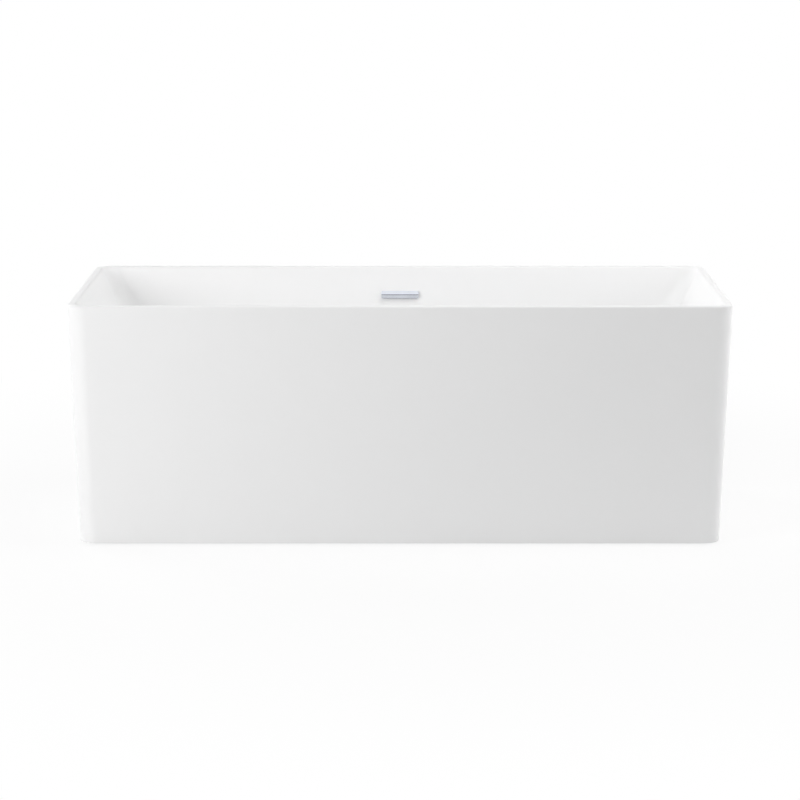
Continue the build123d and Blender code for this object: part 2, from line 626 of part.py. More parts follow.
# Overflow duct: flat behind the wall, with a sump and spigot where the gap is wider
SUMP_UNDER = SPIGOT_END + SPIGOT_LENGTH
SUMP_TOP = SUMP_UNDER + SUMP_HEIGHT
SUMP_Y = side_wall_y(SUMP_TOP) + SUMP_CLEAR + SUMP_DEPTH / 2
DUCT_RUN = (DUCT_PLANE.origin.Z - SUMP_TOP + SUMP_HEIGHT / 2) / cos(radians(SIDE_SLOPE))
SPIGOT = Plane(origin=(0, SUMP_Y, SPIGOT_END), x_dir=(1, 0, 0), z_dir=(0, 0, -1))
with BuildPart() as overflow_duct:
    with BuildSketch(SPIGOT):
        Circle(THREAD / 2)
    extrude(amount=-SPIGOT_LENGTH)
    for wall, mode in ((0, Mode.ADD), (DUCT_WALL, Mode.SUBTRACT)):
        with BuildSketch(DUCT_PLANE.offset(-wall)):
            with Locations((0, (DUCT_ABOVE - DUCT_RUN) / 2)):
                Rectangle(DUCT_WIDTH - 2 * wall, DUCT_RUN + DUCT_ABOVE - 2 * wall)
        extrude(amount=-(DUCT_THICK - 2 * wall), mode=mode)
        with BuildSketch(Plane.XY.offset(SUMP_UNDER + wall)):
            with Locations((0, SUMP_Y)):
                Rectangle(DUCT_WIDTH - 2 * wall, SUMP_DEPTH - 2 * wall)
        extrude(amount=SUMP_HEIGHT - 2 * wall, mode=mode)
    with BuildSketch(DUCT_PLANE):
        with Locations(*SCREW_PLACES):
            Circle(BOSS / 2)
    extrude(amount=-DUCT_THICK)
    with BuildSketch(DUCT_PLANE):
        with Locations(*SCREW_PLACES):
            Circle(OVERFLOW_SCREW / 2 + SCREW_FIT)
    extrude(amount=-(DUCT_THICK - DUCT_WALL), mode=Mode.SUBTRACT)
    with BuildSketch(DUCT_PLANE):
        SlotOverall(SLOT_LENGTH, SLOT_HEIGHT)
    extrude(amount=-DUCT_THICK / 2, mode=Mode.SUBTRACT)
    with BuildSketch(SPIGOT):
        Circle(PIPE / 2 - PIPE_WALL)
    extrude(amount=-(SPIGOT_LENGTH + DUCT_WALL), mode=Mode.SUBTRACT)
    with BuildSketch(SPIGOT):
        Circle(PIPE / 2 + PIPE_FIT)
    extrude(amount=-SOCKET_DEPTH, mode=Mode.SUBTRACT)
save(overflow_duct, "overflow_duct")

# Pipe from the duct's spigot, down and across to the tee
PIPE_TOP = (0, SUMP_Y, SPIGOT_END + SOCKET_DEPTH - PIPE_FIT)
PIPE_TURN = (0, SUMP_Y, PIPE_AXIS)
PIPE_FOOT = (0, TEE_REACH - SOCKET_DEPTH + PIPE_FIT, PIPE_AXIS)
with BuildPart() as overflow_pipe:
    with BuildLine():
        route = FilletPolyline(PIPE_TOP, PIPE_TURN, PIPE_FOOT, radius=PIPE_BEND)
    with BuildSketch(Plane(origin=PIPE_TOP, z_dir=(0, 0, -1))):
        Circle(PIPE / 2)
        Circle(PIPE / 2 - PIPE_WALL, mode=Mode.SUBTRACT)
    sweep(path=route)
save(overflow_pipe, "overflow_pipe")

slip_joint(OUTLET, "tail")
slip_joint(INLET, "tee_inlet")
slip_joint(SPIGOT, "duct_spigot")

# Overflow seal between the wall and the duct
with BuildPart() as overflow_seal:
    with BuildSketch(BACK_PLANE):
        RectangleRounded(SEAL_WIDTH, SEAL_HEIGHT, COVER_CORNER)
        SlotOverall(SLOT_LENGTH, SLOT_HEIGHT, mode=Mode.SUBTRACT)
        with Locations(*SCREW_PLACES):
            Circle(OVERFLOW_SCREW / 2 + SCREW_FIT, mode=Mode.SUBTRACT)
    extrude(amount=-SEAL_GASKET)
save(overflow_seal, "overflow_seal")

# Bracket screwed to the wall under the cover
CAVITY_LENGTH = COVER_LENGTH - 2 * COVER_WALL
CAVITY_HEIGHT = COVER_HEIGHT - 2 * COVER_WALL
with BuildPart() as overflow_bracket:
    with BuildSketch(OVERFLOW_PLANE):
        Rectangle(CAVITY_LENGTH - 2 * BRACKET_FIT, CAVITY_HEIGHT - 2 * BRACKET_FIT)
        SlotOverall(SLOT_LENGTH, SLOT_HEIGHT, mode=Mode.SUBTRACT)
        with Locations(*SCREW_PLACES):
            Circle(OVERFLOW_SCREW / 2 + SCREW_FIT, mode=Mode.SUBTRACT)
    extrude(amount=BRACKET_THICK)
save(overflow_bracket, "overflow_bracket")

SCREW_REACH = BASIN_WALL + SEAL_GASKET + DUCT_THICK - 2 * DUCT_WALL
with BuildPart() as overflow_screws:
    with BuildSketch(OVERFLOW_PLANE.offset(BRACKET_THICK)):
        with Locations(*SCREW_PLACES):
            Circle(OVERFLOW_SCREW_HEAD / 2)
    extrude(amount=OVERFLOW_SCREW_HEAD_THICK)
    with BuildSketch(OVERFLOW_PLANE.offset(BRACKET_THICK)):
        with Locations(*SCREW_PLACES):
            Circle(OVERFLOW_SCREW / 2)
    extrude(amount=-(BRACKET_THICK + SCREW_REACH))
save(overflow_screws, "overflow_screws")

# Cover: a chrome bar with a raised upper face, a crease and a lower face, open beneath
CREASE_TOP = CREASE_RISE + CREASE_WIDTH / 2
CREASE_FOOT = CREASE_RISE - CREASE_WIDTH / 2
COVER_PROFILE = Plane(
    origin=OVERFLOW_PLANE.origin, x_dir=OVERFLOW_PLANE.y_dir, z_dir=OVERFLOW_PLANE.x_dir
)
with BuildPart() as overflow_cover:
    with BuildSketch(COVER_PROFILE):
        with BuildLine():
            Polyline(
                (COVER_HEIGHT / 2, 0),
                (COVER_HEIGHT / 2, COVER_TOP_DEPTH),
                (CREASE_TOP, COVER_DEPTH),
                (CREASE_TOP, COVER_DEPTH - CREASE_DEPTH),
                (CREASE_FOOT, COVER_DEPTH - CREASE_DEPTH),
                (CREASE_FOOT, COVER_DEPTH),
                (-COVER_HEIGHT / 2, COVER_FOOT_DEPTH),
                (-COVER_HEIGHT / 2, 0),
                close=True,
            )
        make_face()
    extrude(amount=COVER_LENGTH / 2, both=True)
    with BuildSketch(OVERFLOW_PLANE):
        RectangleRounded(COVER_LENGTH, COVER_HEIGHT, COVER_CORNER)
    extrude(amount=COVER_DEPTH, mode=Mode.INTERSECT)
    with BuildSketch(OVERFLOW_PLANE):
        Rectangle(CAVITY_LENGTH, CAVITY_HEIGHT)
    extrude(amount=COVER_CAVITY, mode=Mode.SUBTRACT)
    with BuildSketch(OVERFLOW_PLANE.offset(BRACKET_THICK)):
        with Locations((0, -COVER_HEIGHT / 2)):
            Rectangle(INTAKE_LENGTH, COVER_HEIGHT / 2)
    extrude(amount=COVER_CAVITY - BRACKET_THICK, mode=Mode.SUBTRACT)
save(overflow_cover, "overflow_cover")

print("well depth", round(WELL_DEPTH, 1), "flat floor", round(2 * FLAT_HALF_LENGTH), round(2 * FLAT_HALF_WIDTH))
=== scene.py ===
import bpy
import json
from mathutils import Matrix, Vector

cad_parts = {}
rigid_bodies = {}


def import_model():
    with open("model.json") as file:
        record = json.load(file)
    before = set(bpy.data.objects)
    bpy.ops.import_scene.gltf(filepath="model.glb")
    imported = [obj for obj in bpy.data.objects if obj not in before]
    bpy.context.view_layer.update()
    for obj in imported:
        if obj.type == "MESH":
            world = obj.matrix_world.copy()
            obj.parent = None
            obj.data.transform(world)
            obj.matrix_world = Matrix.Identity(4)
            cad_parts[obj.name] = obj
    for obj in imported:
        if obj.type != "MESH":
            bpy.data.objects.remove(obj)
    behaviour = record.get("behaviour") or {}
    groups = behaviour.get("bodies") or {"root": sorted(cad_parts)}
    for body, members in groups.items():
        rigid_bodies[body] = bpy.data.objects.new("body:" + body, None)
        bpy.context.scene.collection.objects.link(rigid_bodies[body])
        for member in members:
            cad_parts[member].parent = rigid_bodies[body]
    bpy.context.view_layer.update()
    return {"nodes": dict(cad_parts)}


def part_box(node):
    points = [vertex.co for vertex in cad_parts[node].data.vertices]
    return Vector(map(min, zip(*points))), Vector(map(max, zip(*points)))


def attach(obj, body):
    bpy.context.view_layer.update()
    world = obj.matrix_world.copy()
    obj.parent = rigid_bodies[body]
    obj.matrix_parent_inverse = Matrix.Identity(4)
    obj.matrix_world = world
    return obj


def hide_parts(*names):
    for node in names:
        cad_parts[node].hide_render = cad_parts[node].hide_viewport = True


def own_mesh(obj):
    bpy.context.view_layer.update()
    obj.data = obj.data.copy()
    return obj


bl_info = {
    "name": "Freestanding Bathtub",
    "version": (1, 0, 0),
    "blender": (4, 5, 0),
    "location": "View3D > Sidebar > Bathtub",
    "description": "Dresses the packed bathtub with smooth shells, fittings, finishes and a studio",
    "category": "Object",
}

import json
from math import cos, pi, radians, sin, sqrt, tan

import bmesh
import bpy
from bpy.props import FloatProperty, FloatVectorProperty, IntProperty, PointerProperty
from mathutils import Vector

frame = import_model()

FEET = ("front_left", "front_right", "rear_left", "rear_right")
# Outlines are bridged this far apart, so that two of one height don't cross over
LEVEL = 0.05
# Points closer than this are one point
SAME = 1e-6
# Steps in the rounds of the shells, from one side of the round to the other
FLOOR_STEPS = 14
UNDERSIDE_STEPS = 10
INNER_RIM_STEPS = 8
OUTER_RIM_STEPS = 6
FOOT_STEPS = 3
# Steps round the turned pieces, and over the plug's dome
PLUG_STEPS = 64
DOME_STEPS = 12
PAD_STEPS = 48
STUD_STEPS = 24
# Steps round the spring's wire, and along each of its turns
WIRE_STEPS = 10
COIL_STEPS = 28
# Edges that turn by more than this many degrees stay sharp
SHELL_SHARP = 40
TURNED_SHARP = 35
WIRE_SHARP = 50
# Edges of the overflow cover that turn by more than this many degrees get a small round
COVER_SHARP = 28
# What is nearer to the wall than this touches it
WALL_CLEARANCE = 1e-4
# Upright part of the normal of a face that looks straight down
DOWNWARD = -0.9999
# Heights of the outlines between the rounds, as shares of a wall's depth or height
WELL_SHARES = (0.75, 0.5, 0.25, 0.06)
UNDERSIDE_SHARES = (0.3, 0.6)
SKIRT_SHARES = (0.25, 0.5, 0.75, 1.0)


def length(name, description, default):
    """A size in metres that a user can change."""
    return FloatProperty(name=name, description=description, default=default, unit="LENGTH", precision=4)


def number(name, description, default, least):
    """A count of steps or turns that a user can change."""
    return IntProperty(name=name, description=description, default=default, min=least)


def angle(name, description, degrees):
    """An angle that a user can change."""
    return FloatProperty(name=name, description=description, default=radians(degrees), unit="ROTATION")


def colour(name, description, default):
    """A colour that a user can change."""
    return FloatVectorProperty(
        name=name, description=description, default=default, size=3, min=0.0, max=1.0, subtype="COLOR"
    )


def power(name, description, watts):
    """The strength of a lamp that a user can change."""
    return FloatProperty(name=name, description=description, default=watts, min=0.0, unit="POWER")


class TubShape(bpy.types.PropertyGroup):
    """Sizes of the two white shells."""

    length: length("Length", "Overall length at the rim", 1.6)
    width: length("Width", "Overall width at the rim", 0.75)
    height: length("Height", "Floor to the top of the rim", 0.59)
    draw_in: length("Draw-in", "How far each side draws in from the rim to the foot", 0.021)
    top_corner: length("Rim corner", "Radius of the upright corners at the rim", 0.048)
    base_corner: length("Foot corner", "Radius of the upright corners at the foot", 0.042)
    floor_gap: length("Foot gap", "Height of the skirt's foot above the floor", 0.005)
    foot_round: length("Foot round", "Small round on the skirt's lower edge", 0.0012)
    skirt_wall: length("Skirt wall", "Thickness of the outer walls", 0.006)
    return_width: length("Return width", "Width of the flange turned in at the foot", 0.028)
    return_thick: length("Return thickness", "Thickness of that flange", 0.006)
    rim_width: length("Rim width", "Flat top between the outside and the well", 0.020)
    rim_thick: length("Rim thickness", "Thickness of the rim above the skirt", 0.008)
    rim_outer_round: length("Outer rim round", "Round on the rim's outer edge", 0.005)
    rim_inner_round: length("Inner rim round", "Round on the rim's inner edge", 0.008)
    basin_wall: length("Well wall", "Thickness of the well's walls", 0.006)
    underfloor: length("Underfloor", "Height of the well floor's underside", 0.136)
    floor_thick: length("Floor thickness", "Thickness of the well's floor", 0.014)
    floor_fall: length("Floor fall", "How far the floor falls to the waste", 0.004)
    floor_round: length("Floor round", "Radius that joins the floor to the walls", 0.090)
    opening_corner: length("Opening corner", "Corner radius of the well at the rim", 0.032)
    floor_corner: length("Floor corner", "Corner radius of the well at its floor", 0.120)
    floor_margin: length("Floor margin", "Level strip of floor along the foot of the walls", 0.006)
    end_slope: angle("Backrest slope", "Lean of the end walls from upright", 25.0)
    side_slope: angle("Side slope", "Lean of the long walls from upright", 13.0)
    corner_steps: number("Corner steps", "Facets round each corner", 24, 6)


class FittingShape(bpy.types.PropertyGroup):
    """Sizes of the overflow cover, the waste and the screw feet."""

    overflow_drop: length("Overflow drop", "Middle of the overflow below the rim", 0.073)
    cover_length: length("Cover length", "Length of the overflow cover", 0.098)
    cover_height: length("Cover height", "Height of the cover along the wall", 0.020)
    cover_depth: length("Cover depth", "How far the crease stands off the wall", 0.010)
    cover_top: length("Cover top depth", "Depth of the cover's upper edge", 0.005)
    cover_foot: length("Cover foot depth", "Depth of the cover's lower edge", 0.0075)
    cover_corner: length("Cover corner", "Corner radius of the cover's outline", 0.004)
    crease: length("Crease", "Width and depth of the groove between the faces", 0.0020)
    crease_rise: length("Crease rise", "Groove above the cover's middle", -0.0006)
    cover_round: length("Cover round", "Small round on the cover's front edges", 0.0004)
    intake_wall: length("Intake wall", "Rim round the intake in the cover's underside", 0.0016)
    intake_depth: length("Intake depth", "Depth of that intake", 0.010)
    waste_hole: length("Waste hole", "Radius of the hole in the floor", 0.0249)
    waste_seat: length("Waste seat", "Radius of the recess for the flange", 0.0365)
    waste_flat: length("Waste flat", "Half size of the level patch round the waste", 0.076)
    waste_flat_corner: length("Waste flat corner", "Corner radius of that patch", 0.040)
    flange_stack: length("Flange stack", "Flange and gasket together", 0.005)
    plug_radius: length("Plug radius", "Radius of the domed cap", 0.032)
    plug_dome: length("Plug dome", "Fall of the domed top to its edge", 0.006)
    plug_round: length("Plug round", "Small round on the cap's edges", 0.0008)
    plug_shoulder: length("Plug shoulder", "Step from the cap's edge to its dome", 0.001)
    pad_radius: length("Pad radius", "Radius of a foot's pad", 0.028)
    pad_neck: length("Pad neck", "Radius of the pad's top", 0.013)
    pad_edge: length("Pad edge", "Height of the pad's upright edge", 0.005)
    pad_lip: length("Pad lip", "Round on the pad's edges", 0.0015)
    stud_radius: length("Stud radius", "Radius of the threaded stud", 0.006)
    stud_clearance: length("Stud clearance", "Gap round the stud in its pad", 0.00008)
    stud_chamfer: length("Stud chamfer", "Slope at the stud's two ends", 0.0012)
    thread_pitch: length("Thread pitch", "Distance from thread to thread", 0.00175)
    thread_depth: length("Thread depth", "Depth of the thread", 0.0009)
    hexagon: length("Hexagon", "Across the flats of the stud's hexagon", 0.019)
    hexagon_height: length("Hexagon height", "Height of that hexagon", 0.008)
    hexagon_gap: length("Hexagon gap", "From the pad's top to the hexagon", 0.004)
    hexagon_round: length("Hexagon round", "Small round on the hexagon's edges", 0.0007)
    spring_wire: length("Spring wire", "Thickness of the plug spring's wire", 0.0009)
    spring_turns: number("Spring turns", "Turns of the plug's spring", 6, 2)


class TubFinish(bpy.types.PropertyGroup):
    """Colours of the finishes."""

    acrylic: colour("Acrylic", "White of the two shells", (0.900, 0.900, 0.900))
    acrylic_tint: colour("Acrylic tint", "Faint variation in the white", (0.893, 0.894, 0.895))
    chrome: colour("Chrome", "Polished fittings", (0.78, 0.81, 0.88))
    zinc: colour("Zinc", "Bright plated screws and nuts", (0.58, 0.58, 0.56))
    tube: colour("Frame paint", "Coated steel tubes", (0.26, 0.27, 0.28))
    plywood: colour("Plywood", "Board under the floor", (0.55, 0.38, 0.21))
    pipe: colour("Pipe plastic", "Waste and overflow pipes", (0.74, 0.74, 0.72))
    brass: colour("Brass", "Locknut, plunger and sleeve", (0.66, 0.48, 0.20))
    rubber: colour("Rubber", "Seals and washers", (0.035, 0.035, 0.037))
    pad: colour("Foot plastic", "Pads of the screw feet", (0.045, 0.045, 0.048))
    adhesive: colour("Adhesive", "Bead under the rim", (0.66, 0.64, 0.58))
    floor: colour("Studio floor", "Pale floor", (0.90, 0.90, 0.90))


class StudioRig(bpy.types.PropertyGroup):
    """Camera and lamps."""

    lens: FloatProperty(
        name="Lens", description="Focal length on a 36 mm sensor", default=132.34, unit="CAMERA"
    )
    distance: length("Camera distance", "In front of the tub's middle", 7.3291)
    eye: length("Camera height", "Above the floor", 1.5993)
    pitch: angle("Camera pitch", "Downward tilt", 10.082)
    ambient: FloatProperty(name="Ambient", description="Even light from all round", default=0.1, min=0.0)
    key: power("Key lamp", "Soft lamp in front on the left", 116.5)
    left: power("Left lamp", "Soft lamp behind on the left", 89.0)
    right: power("Right lamp", "Soft lamp behind on the right", 33.0)
    fill: power("Fill lamp", "Soft lamp past the right end", 60.0)
    top: power("Top lamp", "Soft lamp overhead", 20.0)
    floor_size: length("Floor size", "Side of the studio floor", 160.0)
    shadow_near: length("Shadow near", "The floor's shadow is full up to here from the middle", 0.9)
    shadow_far: length("Shadow far", "The floor is plain white from here on", 2.4)
    shadow_share: FloatProperty(
        name="Shadow share",
        description="How much of the floor's own light shows near the tub",
        default=0.12,
        min=0.0,
        max=1.0,
    )


def open_piece(name):
    """Start a new mesh object and leave it empty in edit mode."""
    bpy.ops.object.select_all(action="DESELECT")
    bpy.ops.mesh.primitive_plane_add(size=1)
    piece = bpy.context.object
    piece.name = name
    piece.data.name = name
    bpy.ops.object.mode_set(mode="EDIT")
    bpy.ops.mesh.select_mode(type="VERT")
    bpy.ops.mesh.select_all(action="SELECT")
    bpy.ops.mesh.delete(type="VERT")
    return piece


def make_active(piece):
    """Select one object alone, for the operators that act on what is selected."""
    bpy.ops.object.select_all(action="DESELECT")
    piece.select_set(True)
    bpy.context.view_layer.objects.active = piece


def close_piece(piece, sharp):
    """Merge seams, turn faces outwards, shade, and let the flat faces lead the normals."""
    bpy.ops.mesh.select_all(action="SELECT")
    bpy.ops.mesh.remove_doubles(threshold=SAME)
    bpy.ops.mesh.normals_make_consistent(inside=False)
    bpy.ops.object.mode_set(mode="OBJECT")
    bpy.ops.object.shade_smooth_by_angle(angle=radians(sharp))
    bpy.ops.object.modifier_add(type="WEIGHTED_NORMAL")
    weighted = piece.modifiers[-1]
    weighted.keep_sharp = True
    weighted.weight = 100
    bpy.ops.object.modifier_apply(modifier=weighted.name)


def settle(piece, body, slot, material, *nodes):
    """Hang a finished piece on its body, give it its material, and let it stand for CAD nodes."""
    piece.data.materials.clear()
    piece.data.materials.append(material)
    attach(piece, body)
    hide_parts(*nodes)


def add_outline(half_length, half_width, corner, height, steps):
    """Add one rounded rectangle to the mesh being edited, as a closed chain of edges."""
    bpy.ops.mesh.select_all(action="DESELECT")
    bpy.ops.mesh.primitive_plane_add(size=2, location=(0, 0, height))
    bpy.ops.transform.resize(value=(half_length, half_width, 1), center_override=(0, 0, height))
    bpy.ops.mesh.bevel(offset=corner, segments=steps, affect="VERTICES", clamp_overlap=False)
    bpy.ops.mesh.delete(type="ONLY_FACE")


def select_rings(piece, rings, size):
    """Select whole outlines of the mesh being edited by their order of making."""
    bpy.ops.mesh.select_all(action="DESELECT")
    mesh = bmesh.from_edit_mesh(piece.data)
    mesh.verts.ensure_lookup_table()
    for ring in rings:
        for vert in mesh.verts[ring * size : (ring + 1) * size]:
            vert.select = True
    mesh.select_flush(True)
    bmesh.update_edit_mesh(piece.data)


def loft_outlines(name, outlines, steps):
    """Bridge rounded rectangles in order, the last to the first, then bring each to its height."""
    piece = open_piece(name)
    size = 4 * (steps + 1)
    for level, (half_length, half_width, corner, _) in enumerate(outlines):
        add_outline(half_length, half_width, corner, level * LEVEL, steps)
    for level in range(len(outlines)):
        select_rings(piece, (level, (level + 1) % len(outlines)), size)
        bpy.ops.mesh.bridge_edge_loops()
    for level, outline in enumerate(outlines):
        select_rings(piece, (level,), size)
        bpy.ops.transform.translate(value=(0, 0, outline[3] - level * LEVEL))
    return piece


def draw_chain(points):
    """Draw edges through a list of points, by extruding one vertex from each to the next."""
    bpy.ops.mesh.select_all(action="DESELECT")
    bpy.ops.mesh.primitive_plane_add(size=1e-3, location=points[0])
    bpy.ops.mesh.merge(type="CENTER")
    for start, end in zip(points, points[1:]):
        step = Vector(end) - Vector(start)
        bpy.ops.mesh.extrude_region_move(TRANSFORM_OT_translate={"value": step})


def turn_profile(points, steps):
    """Spin a profile of (radius, height) points about the upright axis into a closed form."""
    draw_chain([(radius, 0, height) for radius, height in points])
    bpy.ops.mesh.select_linked()
    bpy.ops.mesh.spin(steps=steps, angle=2 * pi, center=(0, 0, 0), axis=(0, 0, 1))
    bpy.ops.mesh.select_all(action="SELECT")
    bpy.ops.mesh.remove_doubles(threshold=SAME)


def move_mesh(offset):
    """Move all that is being edited."""
    bpy.ops.mesh.select_all(action="SELECT")
    bpy.ops.transform.translate(value=offset)


def arc_heights(radius, stop, count):
    """Heights on a round, from its level end to an angle, spaced evenly along the curve."""
    return [radius * (1 - cos(stop * step / count)) for step in range(count + 1)]


def skirt_outline(shape, height, inside=0.0):
    """Outline of the skirt's outside at a height, or of a line that far inside it."""
    share = (shape.height - height) / (shape.height - shape.floor_gap)
    inset = shape.draw_in * share + inside
    corner = shape.top_corner + share * (shape.base_corner - shape.top_corner) - inside
    return (shape.length / 2 - inset, shape.width / 2 - inset, corner, height)


def wall_half(edge, slope, drop, depth, rim_round, floor_round):
    """Half size of the well at a drop below the rim, rounded at the rim and at the floor."""
    half = edge - drop * tan(slope)
    reach = tan(pi / 4 - slope / 2)
    if drop < rim_round * (1 - sin(slope)):
        half = edge + rim_round * reach - sqrt(rim_round**2 - (rim_round - drop) ** 2)
    rise = depth - drop
    if rise < floor_round * (1 - sin(slope)):
        flat = edge - depth * tan(slope) - floor_round * reach
        half = flat + sqrt(max(0.0, floor_round**2 - (floor_round - rise) ** 2))
    return half


def well_outline(shape, drop, grow=0.0):
    """Outline of the well at a drop below the rim: its inside, or its outside when grown by a wall."""
    inside_depth = shape.height - shape.underfloor - shape.floor_thick
    depth = inside_depth + (shape.floor_thick if grow else 0.0)
    rim_round = 0.0 if grow else shape.rim_inner_round
    floor_round = shape.floor_round + grow
    halves = []
    pull = 0.0
    for edge, slope in (
        (shape.length / 2 - shape.rim_width, shape.end_slope),
        (shape.width / 2 - shape.rim_width, shape.side_slope),
    ):
        wall_edge = edge + grow / cos(slope)
        half = wall_half(wall_edge, slope, drop, depth, rim_round, floor_round)
        pull += (half - (wall_edge - drop * tan(slope))) / 2
        halves.append(half)
    corner = shape.opening_corner + drop / inside_depth * (shape.floor_corner - shape.opening_corner)
    return (halves[0], halves[1], corner + grow + pull, shape.height - drop)


def basin_outlines(shape, fittings):
    """Every outline of the basin: up the well from the waste hole, over the rim and back underneath."""
    depth = shape.height - shape.underfloor - shape.floor_thick
    floor_top = shape.height - depth
    waste_top = floor_top - shape.floor_fall
    seat = waste_top - fittings.flange_stack
    hole = (fittings.waste_hole,) * 3
    recess = (fittings.waste_seat,) * 3
    flat = well_outline(shape, depth)
    # A round ends where it meets the slope of the long walls
    stop = pi / 2 - shape.side_slope
    outlines = [hole + (shape.underfloor,), hole + (seat,), recess + (seat,), recess + (waste_top,)]
    outlines.append((fittings.waste_flat, fittings.waste_flat, fittings.waste_flat_corner, waste_top))
    outlines.append(tuple(size - shape.floor_margin for size in flat[:3]) + (floor_top,))
    for rise in arc_heights(shape.floor_round, stop, FLOOR_STEPS):
        outlines.append(well_outline(shape, depth - rise))
    for share in WELL_SHARES:
        outlines.append(well_outline(shape, depth * share))
    for drop in reversed(arc_heights(shape.rim_inner_round, stop, INNER_RIM_STEPS)):
        outlines.append(well_outline(shape, drop))
    for step in range(OUTER_RIM_STEPS + 1):
        turn = pi / 2 * step / OUTER_RIM_STEPS
        inside = shape.rim_outer_round * (1 - sin(turn))
        fall = shape.rim_outer_round * (1 - cos(turn))
        outlines.append(skirt_outline(shape, shape.height - fall, inside))
    outlines.append(skirt_outline(shape, shape.height - shape.rim_thick))
    under = shape.height - shape.underfloor
    outlines.append(well_outline(shape, shape.rim_thick, shape.basin_wall))
    for share in UNDERSIDE_SHARES:
        outlines.append(well_outline(shape, under * share, shape.basin_wall))
    for rise in reversed(arc_heights(shape.floor_round + shape.basin_wall, stop, UNDERSIDE_STEPS)):
        outlines.append(well_outline(shape, under - rise, shape.basin_wall))
    return outlines


def skirt_outlines(shape):
    """Every outline of the skirt, up the outside and down the inside to the turned-in flange."""
    top = shape.height - shape.rim_thick
    foot = shape.floor_gap
    small = shape.foot_round
    outlines = []
    for step in range(FOOT_STEPS + 1):
        turn = pi / 2 * step / FOOT_STEPS
        outlines.append(skirt_outline(shape, foot + small * (1 - cos(turn)), small * (1 - sin(turn))))
    for share in SKIRT_SHARES:
        outlines.append(skirt_outline(shape, foot + (top - foot) * share))
    outlines.append(skirt_outline(shape, top, shape.skirt_wall))
    outlines.append(skirt_outline(shape, foot + shape.return_thick, shape.skirt_wall))
    outlines.append(skirt_outline(shape, foot + shape.return_thick, shape.return_width))
    outlines.append(skirt_outline(shape, foot, shape.return_width))
    return outlines


def new_group(name, inputs):
    """A shader node group with the given input sockets; returns the group and its two ends."""
    group = bpy.data.node_groups.new(name, "ShaderNodeTree")
    for label, kind, default in inputs:
        socket = group.interface.new_socket(label, in_out="INPUT", socket_type=kind)
        if default is not None:
            socket.default_value = default
    start = group.nodes.new("NodeGroupInput")
    end = group.nodes.new("NodeGroupOutput")
    return group, start, end


def mottle_group():
    """Soft cloudy value between two limits, for roughness that changes over a surface."""
    if "Soft mottle" in bpy.data.node_groups:
        return bpy.data.node_groups["Soft mottle"]
    group, start, end = new_group(
        "Soft mottle",
        (
            ("Vector", "NodeSocketVector", None),
            ("Scale", "NodeSocketFloat", 6.0),
            ("Low", "NodeSocketFloat", 0.2),
            ("High", "NodeSocketFloat", 0.3),
        ),
    )
    group.interface.new_socket("Value", in_out="OUTPUT", socket_type="NodeSocketFloat")
    noise = group.nodes.new("ShaderNodeTexNoise")
    noise.inputs["Detail"].default_value = 4.0
    spread = group.nodes.new("ShaderNodeMapRange")
    spread.inputs["From Min"].default_value = 0.3
    spread.inputs["From Max"].default_value = 0.7
    link = group.links.new
    link(start.outputs["Vector"], noise.inputs["Vector"])
    link(start.outputs["Scale"], noise.inputs["Scale"])
    link(noise.outputs["Fac"], spread.inputs["Value"])
    link(start.outputs["Low"], spread.inputs["To Min"])
    link(start.outputs["High"], spread.inputs["To Max"])
    link(spread.outputs["Result"], end.inputs["Value"])
    return group


def tint_group():
    """Cloudy blend from one colour to another."""
    if "Cloudy tint" in bpy.data.node_groups:
        return bpy.data.node_groups["Cloudy tint"]
    group, start, end = new_group(
        "Cloudy tint",
        (
            ("Vector", "NodeSocketVector", None),
            ("Scale", "NodeSocketFloat", 3.0),
            ("Base", "NodeSocketColor", (0.8, 0.8, 0.8, 1.0)),
            ("Tint", "NodeSocketColor", (0.7, 0.7, 0.7, 1.0)),
        ),
    )
    group.interface.new_socket("Color", in_out="OUTPUT", socket_type="NodeSocketColor")
    noise = group.nodes.new("ShaderNodeTexNoise")
    noise.inputs["Detail"].default_value = 5.0
    spread = group.nodes.new("ShaderNodeMapRange")
    spread.inputs["From Min"].default_value = 0.35
    spread.inputs["From Max"].default_value = 0.65
    blend = group.nodes.new("ShaderNodeMix")
    blend.data_type = "RGBA"
    link = group.links.new
    link(start.outputs["Vector"], noise.inputs["Vector"])
    link(start.outputs["Scale"], noise.inputs["Scale"])
    link(noise.outputs["Fac"], spread.inputs["Value"])
    link(spread.outputs["Result"], blend.inputs["Factor"])
    link(start.outputs["Base"], blend.inputs["A"])
    link(start.outputs["Tint"], blend.inputs["B"])
    link(blend.outputs["Result"], end.inputs["Color"])
    return group


def grain_group():
    """Fine height for a bump, stretched along any axis."""
    if "Fine grain" in bpy.data.node_groups:
        return bpy.data.node_groups["Fine grain"]
    group, start, end = new_group(
        "Fine grain",
        (
            ("Vector", "NodeSocketVector", None),
            ("Scale", "NodeSocketFloat", 200.0),
            ("Stretch", "NodeSocketVector", (1.0, 1.0, 1.0)),
        ),
    )
    group.interface.new_socket("Height", in_out="OUTPUT", socket_type="NodeSocketFloat")
    stretch = group.nodes.new("ShaderNodeVectorMath")
    stretch.operation = "MULTIPLY"
    noise = group.nodes.new("ShaderNodeTexNoise")
    noise.inputs["Detail"].default_value = 3.0
    link = group.links.new
    link(start.outputs["Vector"], stretch.inputs[0])
    link(start.outputs["Stretch"], stretch.inputs[1])
    link(stretch.outputs["Vector"], noise.inputs["Vector"])
    link(start.outputs["Scale"], noise.inputs["Scale"])
    link(noise.outputs["Fac"], end.inputs["Height"])
    return group


